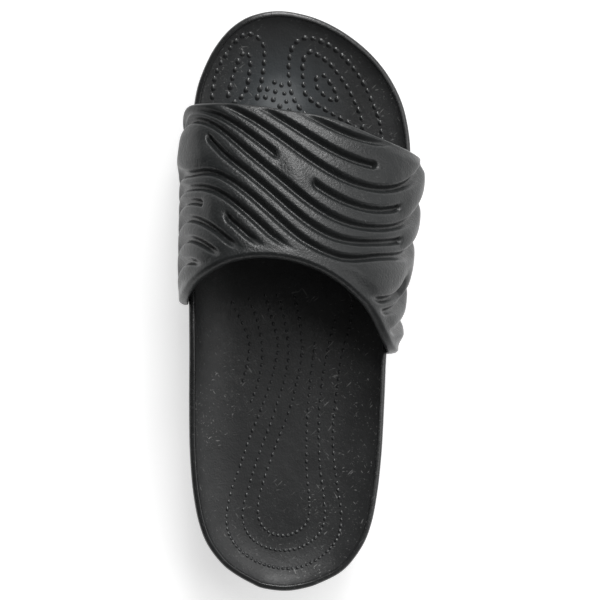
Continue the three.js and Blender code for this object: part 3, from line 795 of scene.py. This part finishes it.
def stud_places():
    """Where each stud stands, and the way its row runs there."""
    places = []
    for closed, row in STUD_ROWS:
        corners = [(across * BALL_WIDTH, along * SOLE_LENGTH) for along, across in row]
        line = spline(corners, closed, per=ROW_SAMPLES)
        heel = line[:, 1].max() < FORE_STUDS * SOLE_LENGTH
        pitch = STUD_PITCH * (HEEL_PITCH_SHARE if heel else 1)
        crowding = HEEL_CROWDING * smooth((HEEL_LOOPS - line[:, 1]) / HEEL_LOOPS_FADE)
        dots = spaced(line, closed, pitch=pitch, density=1 + crowding)
        along = np.roll(dots, -1, axis=0) - np.roll(dots, 1, axis=0)
        if not closed:
            along[0], along[-1] = dots[1] - dots[0], dots[-1] - dots[-2]
        places += np.hstack([dots, along / np.linalg.norm(along, axis=1, keepdims=True)]).tolist()
    for along, across in STUD_CLUSTER:
        places.append((across * BALL_WIDTH, along * SOLE_LENGTH, 0.0, 0.0))
    kept = []
    for place in places:
        if all(math.dist(place[:2], other[:2]) > STUD_PITCH * STUD_CLEARANCE for other in kept):
            kept.append(place)
    return np.array(kept)


def studs():
    """One mesh of low domes that follow the footbed, longer along their row than across it."""
    domes = np.maximum(0, 1 - STUD_RINGS**2) ** STUD_ROUNDNESS
    lifts = np.where(STUD_RINGS < 1, domes, STUD_SINK)
    angles = np.linspace(0, 2 * math.pi, STUD_SIDES, endpoint=False)
    places = stud_places()
    rng = np.random.default_rng(STUD_SEED)
    sizes = rng.uniform(*STUD_SIZES, len(places))
    sizes = sizes * np.where(places[:, 1] < FORE_STUDS * SOLE_LENGTH, HEEL_STUD_SHARE, 1)
    points, faces = [], []
    for (x, y, run_x, run_y), size in zip(places, sizes):
        start = len(points)
        long = STUD_HALF_LENGTH if run_x or run_y else STUD_HALF_WIDTH
        run = (run_x, run_y) if run_x or run_y else (0.0, 1.0)
        ahead = np.outer(STUD_RINGS, np.cos(angles)).ravel() * long * size
        aside = np.outer(STUD_RINGS, np.sin(angles)).ravel() * STUD_HALF_WIDTH * size
        xs = np.append(x + ahead * run[0] - aside * run[1], x)
        ys = np.append(y + ahead * run[1] + aside * run[0], y)
        rise = np.append(np.repeat(lifts, STUD_SIDES), 1.0) * STUD_HEIGHT * size
        base = footbed_height(xs, ys, edge_distance(xs, ys) - RIM_WIDTH)
        points += np.column_stack([xs, ys, base + rise]).tolist()
        for k in range(len(STUD_RINGS) - 1):
            for i in range(STUD_SIDES):
                j = (i + 1) % STUD_SIDES
                a, b = start + k * STUD_SIDES, start + (k + 1) * STUD_SIDES
                faces.append((a + i, a + j, b + j, b + i))
        tip = start + len(STUD_RINGS) * STUD_SIDES
        last = tip - STUD_SIDES
        faces += [(last + i, last + (i + 1) % STUD_SIDES, tip) for i in range(STUD_SIDES)]
        faces.append(tuple(start + i for i in range(STUD_SIDES))[::-1])
    return points, faces


points, faces = studs()
mesh_object("footbed_studs", points, faces, stud_foam)


# ---------------------------------------------------------------- strap
# Columns and rows of the strap's face and lining, with those round its corners and edges
FACE_COLUMNS, CORNER_COLUMNS = 420, 16
FACE_ROWS, FACE_EDGE_ROWS = 168, 7
LINING_ROWS, LINING_EDGE_ROWS = 14, 5
ARCH_STEPS = 2400
arch_angles = math.pi * (1 - np.arange(ARCH_STEPS + 1) / ARCH_STEPS)


def arch_power(value):
    """Turns a circle's sine or cosine into that of the strap's squarer arch."""
    return np.sign(value) * np.abs(value) ** (2 / ARCH_SQUARENESS)


ARCH_ACROSS = arch_power(np.cos(arch_angles))
ARCH_UP = np.abs(arch_power(np.sin(arch_angles)))
ARCH_TRAVEL = np.concatenate([[0], np.cumsum(np.hypot(np.diff(ARCH_ACROSS), np.diff(ARCH_UP)))])

STRAP_REAR = min(row[2] for row in STRAP_EDGES) * SOLE_LENGTH
STRAP_SPAN = max(row[1] for row in STRAP_EDGES) * SOLE_LENGTH - STRAP_REAR


def strap_inside(across, y):
    """The strap's inner face, at places across it and distances along the sole."""
    across, y = np.broadcast_arrays(np.asarray(across, float), np.asarray(y, float))
    outer, inner = side_at(y, 1) + LAP_GAP, side_at(y, -1) - LAP_GAP
    side = np.where(across < 0, -1.0, 1.0)
    x = np.where(side > 0, outer, inner)
    rim_z = rim_height(x, y)
    down = (np.abs(across) - (1 - LEG_SHARE)) / LEG_SHARE
    z = (rim_z - RIM_ROUND) * (1 - down) + LEG_BOTTOM * down
    floor = underside_height(y)
    leg = np.stack([x - side * side_inset((z - floor) / (rim_z - floor)), y, z], -1)

    travel = (np.clip(across / (1 - LEG_SHARE), -1, 1) + 1) / 2 * ARCH_TRAVEL[-1]
    share = (np.interp(travel, ARCH_TRAVEL, ARCH_ACROSS) + 1) / 2
    up = np.interp(travel, ARCH_TRAVEL, ARCH_UP)
    rear, front = rear_of(0.0) * SOLE_LENGTH, front_of(0.0) * SOLE_LENGTH
    forward = np.clip((y - STRAP_REAR) / STRAP_SPAN, 0, 1)
    top = INSTEP_TOP + (TOE_TOP - INSTEP_TOP) * (y - rear) / (front - rear)
    top = top + STRAP_CROWN * np.sin(np.pi * forward)
    spring = (rim_height(inner, y) * (1 - share) + rim_height(outer, y) * share) - RIM_ROUND
    crossing = inner + (outer - inner) * share - PEAK_SHIFT * up**2
    over = np.stack([crossing, y, spring + (top - spring) * up], -1)
    return np.where((np.abs(across) > 1 - LEG_SHARE)[..., None], leg, over)


def strap_normal(across, y):
    """The inner face's outward direction, from its slope across and along."""
    nudge = 0.004
    right, left = np.clip(across + nudge, -1, 1), np.clip(across - nudge, -1, 1)
    over = strap_inside(right, y) - strap_inside(left, y)
    normal = np.cross(over, strap_inside(across, y + 1) - strap_inside(across, y - 1))
    return normal / np.linalg.norm(normal, axis=-1, keepdims=True)


def ripple_swing(across, forward):
    """A height map whose level lines are the waves before the islands push them aside."""
    swing = np.sin(2 * np.pi * (across + MEANDER_SHIFT * STRAP_REACH) / MEANDER_LENGTH)
    fade = np.exp(-(((forward - STRAP_SPAN * MEANDER_MIDDLE) / MEANDER_FADE) ** 2))
    return forward + RIPPLE_SLANT * across + MEANDER * swing * fade


def ripple_field(across, forward):
    """The same with the islands, each at a level midway between two grooves."""
    field = ripple_swing(across, forward)
    for x, y, half_width, half_length in ISLANDS:
        x, y = x * STRAP_REACH, y * STRAP_SPAN
        level = (math.floor(ripple_swing(x, y) / RIPPLE_PITCH) + 0.5) * RIPPLE_PITCH
        half_width, half_length = half_width * STRAP_REACH, half_length * STRAP_SPAN
        distance = ((across - x) / half_width) ** 2 + ((forward - y) / half_length) ** 2
        field = field - (field - level) * np.exp(-distance)
    return field


def ripple(across, forward):
    """0 on a groove's floor and about 1 on the ridges.

    At the strap's sides the grooves are wider and the ridges taller.
    """
    step = 0.5
    field = ripple_field(across, forward)
    slope = np.hypot(
        ripple_field(across + step, forward) - ripple_field(across - step, forward),
        ripple_field(across, forward + step) - ripple_field(across, forward - step),
    ) / (2 * step)
    slope = np.hypot(slope, LEAST_SLOPE)
    on_side = smooth((np.abs(across) / STRAP_REACH - STRAP_SIDE_START) / STRAP_SIDE_BLEND)
    width = GROOVE_WIDTH + (SIDE_GROOVE_WIDTH - GROOVE_WIDTH) * on_side
    height = np.ones(np.shape(field))
    for level, start, end in GROOVES:
        start, end = start * STRAP_REACH, end * STRAP_REACH
        beyond = np.maximum(0, np.maximum(start - across, across - end))
        square = ((field - level * RIPPLE_PITCH) / slope) ** 2 + beyond**2
        groove = (1 - SWELL_SHARE) * np.exp(-((square / width**2) ** GROOVE_STEEPNESS))
        height *= 1 - groove - SWELL_SHARE * np.exp(-square / GROOVE_SWELL**2)
    return height * (1 + SIDE_LIFT * on_side)


def strap_wall(across, y, from_front, from_rear, from_end):
    """The wall's thickness: rippled, plain along the hems, thin down the legs, round at edges."""
    over_edges = smooth(from_front / FRONT_BLEND) * smooth((from_rear - REAR_HEM) / REAR_BLEND)
    rippled = over_edges * smooth(from_end / LEG_TAPER)
    raised = RELIEF * ripple(across * STRAP_REACH, y - STRAP_REAR)
    full = STRAP_WALL + raised * rippled + RIDGE_HEIGHT * HEM_SHARE * (1 - rippled)
    leg = LEG_WALL + (full - LEG_WALL) * smooth(from_end / LEG_TAPER)
    edge = np.clip(np.minimum(np.minimum(from_front, from_rear), from_end) / EDGE_ROUND, 0, 1)
    return EDGE_WALL + (leg - EDGE_WALL) * np.sqrt(1 - (1 - edge) ** 2)


def strap_columns(middle, corner):
    """Places across the strap, closer together round the corners of its ends."""
    turn = np.arange(corner) / corner * math.pi / 2
    ends = LEG_CORNER / STRAP_REACH * (1 - np.cos(turn))
    inner = np.linspace(LEG_CORNER / STRAP_REACH - 1, 1 - LEG_CORNER / STRAP_REACH, middle + 1)
    return np.concatenate([ends - 1, inner, (1 - ends)[::-1]])


def edge_rows(length, near, spacing):
    """Distances from the rear edge for each column, closer together round the edges."""
    turn = np.linspace(0, math.pi / 2, near)
    edge = EDGE_ROUND * (1 - np.cos(turn))
    middle = np.linspace(0, 1, spacing + 1)[1:-1]
    between = EDGE_ROUND + (length[:, None] - 2 * EDGE_ROUND) * middle
    ends = np.broadcast_to(edge, (len(length), near))
    return np.concatenate([ends, between, length[:, None] - ends[:, ::-1]], axis=1)


def strap():
    """Points and faces of the strap: its rippled face, its plain lining and the edges between."""
    across = strap_columns(FACE_COLUMNS, CORNER_COLUMNS)
    from_end = (1 - np.abs(across)) * STRAP_REACH
    rounding = np.clip(1 - from_end / LEG_CORNER, 0, 1)
    cut = LEG_CORNER * (1 - np.sqrt(1 - rounding**2))
    front = front_of(across) * SOLE_LENGTH - cut
    rear = rear_of(across) * SOLE_LENGTH + cut
    length = front - rear

    def grid(near, spacing):
        rows = edge_rows(length, near, spacing)
        places = np.broadcast_to(across[:, None], rows.shape)
        ends = np.broadcast_to(from_end[:, None], rows.shape)
        return places, rear[:, None] + rows, length[:, None] - rows, rows, ends

    places, y, from_front, from_rear, ends = grid(FACE_EDGE_ROWS, FACE_ROWS)
    face_wall = strap_wall(places, y, from_front, from_rear, ends)
    face = strap_inside(places, y) + strap_normal(places, y) * face_wall[..., None]
    places, y, from_front, from_rear, ends = grid(LINING_EDGE_ROWS, LINING_ROWS)
    near = np.minimum(np.minimum(from_front, from_rear), ends)
    lip = INNER_ROUND * (1 - np.sqrt(1 - (1 - np.clip(near / EDGE_ROUND, 0, 1)) ** 2))
    lining = strap_inside(places, y) + strap_normal(places, y) * lip[..., None]

    columns, rows = face.shape[:2]
    inner_rows = lining.shape[1]
    points = np.concatenate([face.reshape(-1, 3), lining.reshape(-1, 3)])
    f = np.arange(columns * rows).reshape(columns, rows)
    g = columns * rows + np.arange(columns * inner_rows).reshape(columns, inner_rows)

    def quads(a, b, c, d):
        return np.stack([a, b, c, d], -1).reshape(-1, 4).tolist()

    def rank(n):
        return points[n, 1]

    a, b, c, d = f[:-1, :-1], f[1:, :-1], f[1:, 1:], f[:-1, 1:]
    flat = face_wall.ravel()
    along = (np.abs(flat[a] - flat[c]) <= np.abs(flat[b] - flat[d]))[..., None]
    first = np.where(along, np.stack([a, b, c], -1), np.stack([a, b, d], -1))
    second = np.where(along, np.stack([a, c, d], -1), np.stack([b, c, d], -1))
    faces = first.reshape(-1, 3).tolist() + second.reshape(-1, 3).tolist()
    faces += quads(g[:-1, :-1], g[:-1, 1:], g[1:, 1:], g[1:, :-1])
    faces += quads(g[:-1, 0], g[1:, 0], f[1:, 0], f[:-1, 0])
    faces += quads(f[:-1, -1], f[1:, -1], g[1:, -1], g[:-1, -1])
    faces += zip_chains(f[0].tolist(), g[0].tolist(), rank)
    faces += zip_chains(g[-1].tolist(), f[-1].tolist(), rank)
    return points, faces


points, faces = strap()
strap_piece = mesh_object("strap", points, faces, strap_foam, "upper")
sharpen(strap_piece, STRAP_CREASE)


# ---------------------------------------------------------------- floor, light and camera
FLOOR_SIZE = 12
FLOOR_GREY = 0.72
FLOOR_ROUGHNESS = 0.9
FLOOR_GLOW = 0.58


def floor_material():
    """A matt pale floor that glows a little, so that it stays near white."""
    material = bpy.data.materials.new("studio_floor")
    material.use_nodes = True
    shader = material.node_tree.nodes["Principled BSDF"]
    shader.inputs["Base Color"].default_value = (FLOOR_GREY, FLOOR_GREY, FLOOR_GREY, 1)
    shader.inputs["Roughness"].default_value = FLOOR_ROUGHNESS
    shader.inputs["Emission Color"].default_value = (1, 1, 1, 1)
    shader.inputs["Emission Strength"].default_value = FLOOR_GLOW
    return material


bpy.ops.mesh.primitive_plane_add(size=FLOOR_SIZE, location=(0, 0, 0))
floor = bpy.context.object
floor.name = "studio_floor"
floor.data.materials.append(floor_material())

# The sky's bright side, with the range towards it over which the dome brightens from DARK_SIDE
BRIGHT_SIDE = (0.9, 0.35, 0.0)
BRIGHT_FROM, BRIGHT_TO = -0.9, 0.5
DARK_SIDE = 0.12
# The dome's brightness at the horizon and overhead
DOME_LOW, DOME_HIGH = 0.66, 0.18
# The horizon's brightness, and the heights between which it gives way to the dome
HORIZON = 1.05
HORIZON_FROM, HORIZON_TO = 0.05, 0.11


def soft_sky():
    """A pale band round the horizon under a dimmer dome, darkest behind the heel's inner side."""
    sky = bpy.data.worlds.new("studio")
    sky.use_nodes = True
    tree = sky.node_tree
    nodes, links = tree.nodes, tree.links
    place = nodes.new("ShaderNodeTexCoord").outputs["Generated"]
    split = nodes.new("ShaderNodeSeparateXYZ")
    links.new(place, split.inputs[0])
    up = split.outputs["Z"]
    towards = nodes.new("ShaderNodeVectorMath")
    towards.operation = "DOT_PRODUCT"
    towards.inputs[1].default_value = BRIGHT_SIDE
    links.new(place, towards.inputs[0])
    brighter = towards.outputs["Value"]

    dome = nodes.new("ShaderNodeMath")
    dome.operation = "MULTIPLY"
    links.new(map_range(tree, up, (0.0, 1.0, DOME_LOW, DOME_HIGH)), dome.inputs[0])
    spans = (BRIGHT_FROM, BRIGHT_TO, DARK_SIDE, 1.0)
    links.new(map_range(tree, brighter, spans), dome.inputs[1])
    # The Mix node's first sockets: factor 0, value 2 and value 3
    whole = nodes.new("ShaderNodeMix")
    links.new(map_range(tree, up, (HORIZON_FROM, HORIZON_TO, 1.0, 0.0)), whole.inputs[0])
    links.new(dome.outputs[0], whole.inputs[2])
    whole.inputs[3].default_value = HORIZON
    links.new(whole.outputs[0], nodes["Background"].inputs["Color"])
    return sky


bpy.context.scene.world = soft_sky()

# Soft boxes: (name, the direction they stand in, strength, width as an angle in radians)
SOFT_BOXES = [
    ("key", (0.15, 1.1, 0.72), 1.4, 0.4),
    ("front", (0.2, 0.76, 0.9), 1.2, 0.8),
    ("outer_side", (0.75, 0.15, 0.7), 0.5, 0.7),
]
for name, place, strength, width in SOFT_BOXES:
    data = bpy.data.lights.new(name, "SUN")
    data.energy = strength
    data.angle = width
    light = bpy.data.objects.new(name, data)
    light.location = place
    light.rotation_euler = Vector(place).to_track_quat("Z", "Y").to_euler()
    bpy.context.scene.collection.objects.link(light)

# The camera stands high over the inner side, and looks at the shoe's middle
EYE = to_frame([-55.9, 134.4, 850.0])
TARGET = Vector((0.0, 0.0, 0.022))
SENSOR_WIDTH = 36.0
FOCAL_PIXELS = 1779.0
FRAME_PIXELS = 600.0
camera_data = bpy.data.cameras.new("camera")
camera_data.sensor_width = SENSOR_WIDTH
camera_data.lens = SENSOR_WIDTH * FOCAL_PIXELS / FRAME_PIXELS
camera = bpy.data.objects.new("camera", camera_data)
bpy.context.scene.collection.objects.link(camera)
camera.location = EYE
back = (Vector(EYE) - TARGET).normalized()
right = Vector((0, 1, 0)).cross(back).normalized()
up = back.cross(right)
camera.rotation_euler = Matrix((right, up, back)).transposed().to_euler()
bpy.context.scene.camera = camera

bpy.context.scene.view_settings.view_transform = "Standard"
bpy.context.scene.view_settings.look = "None"
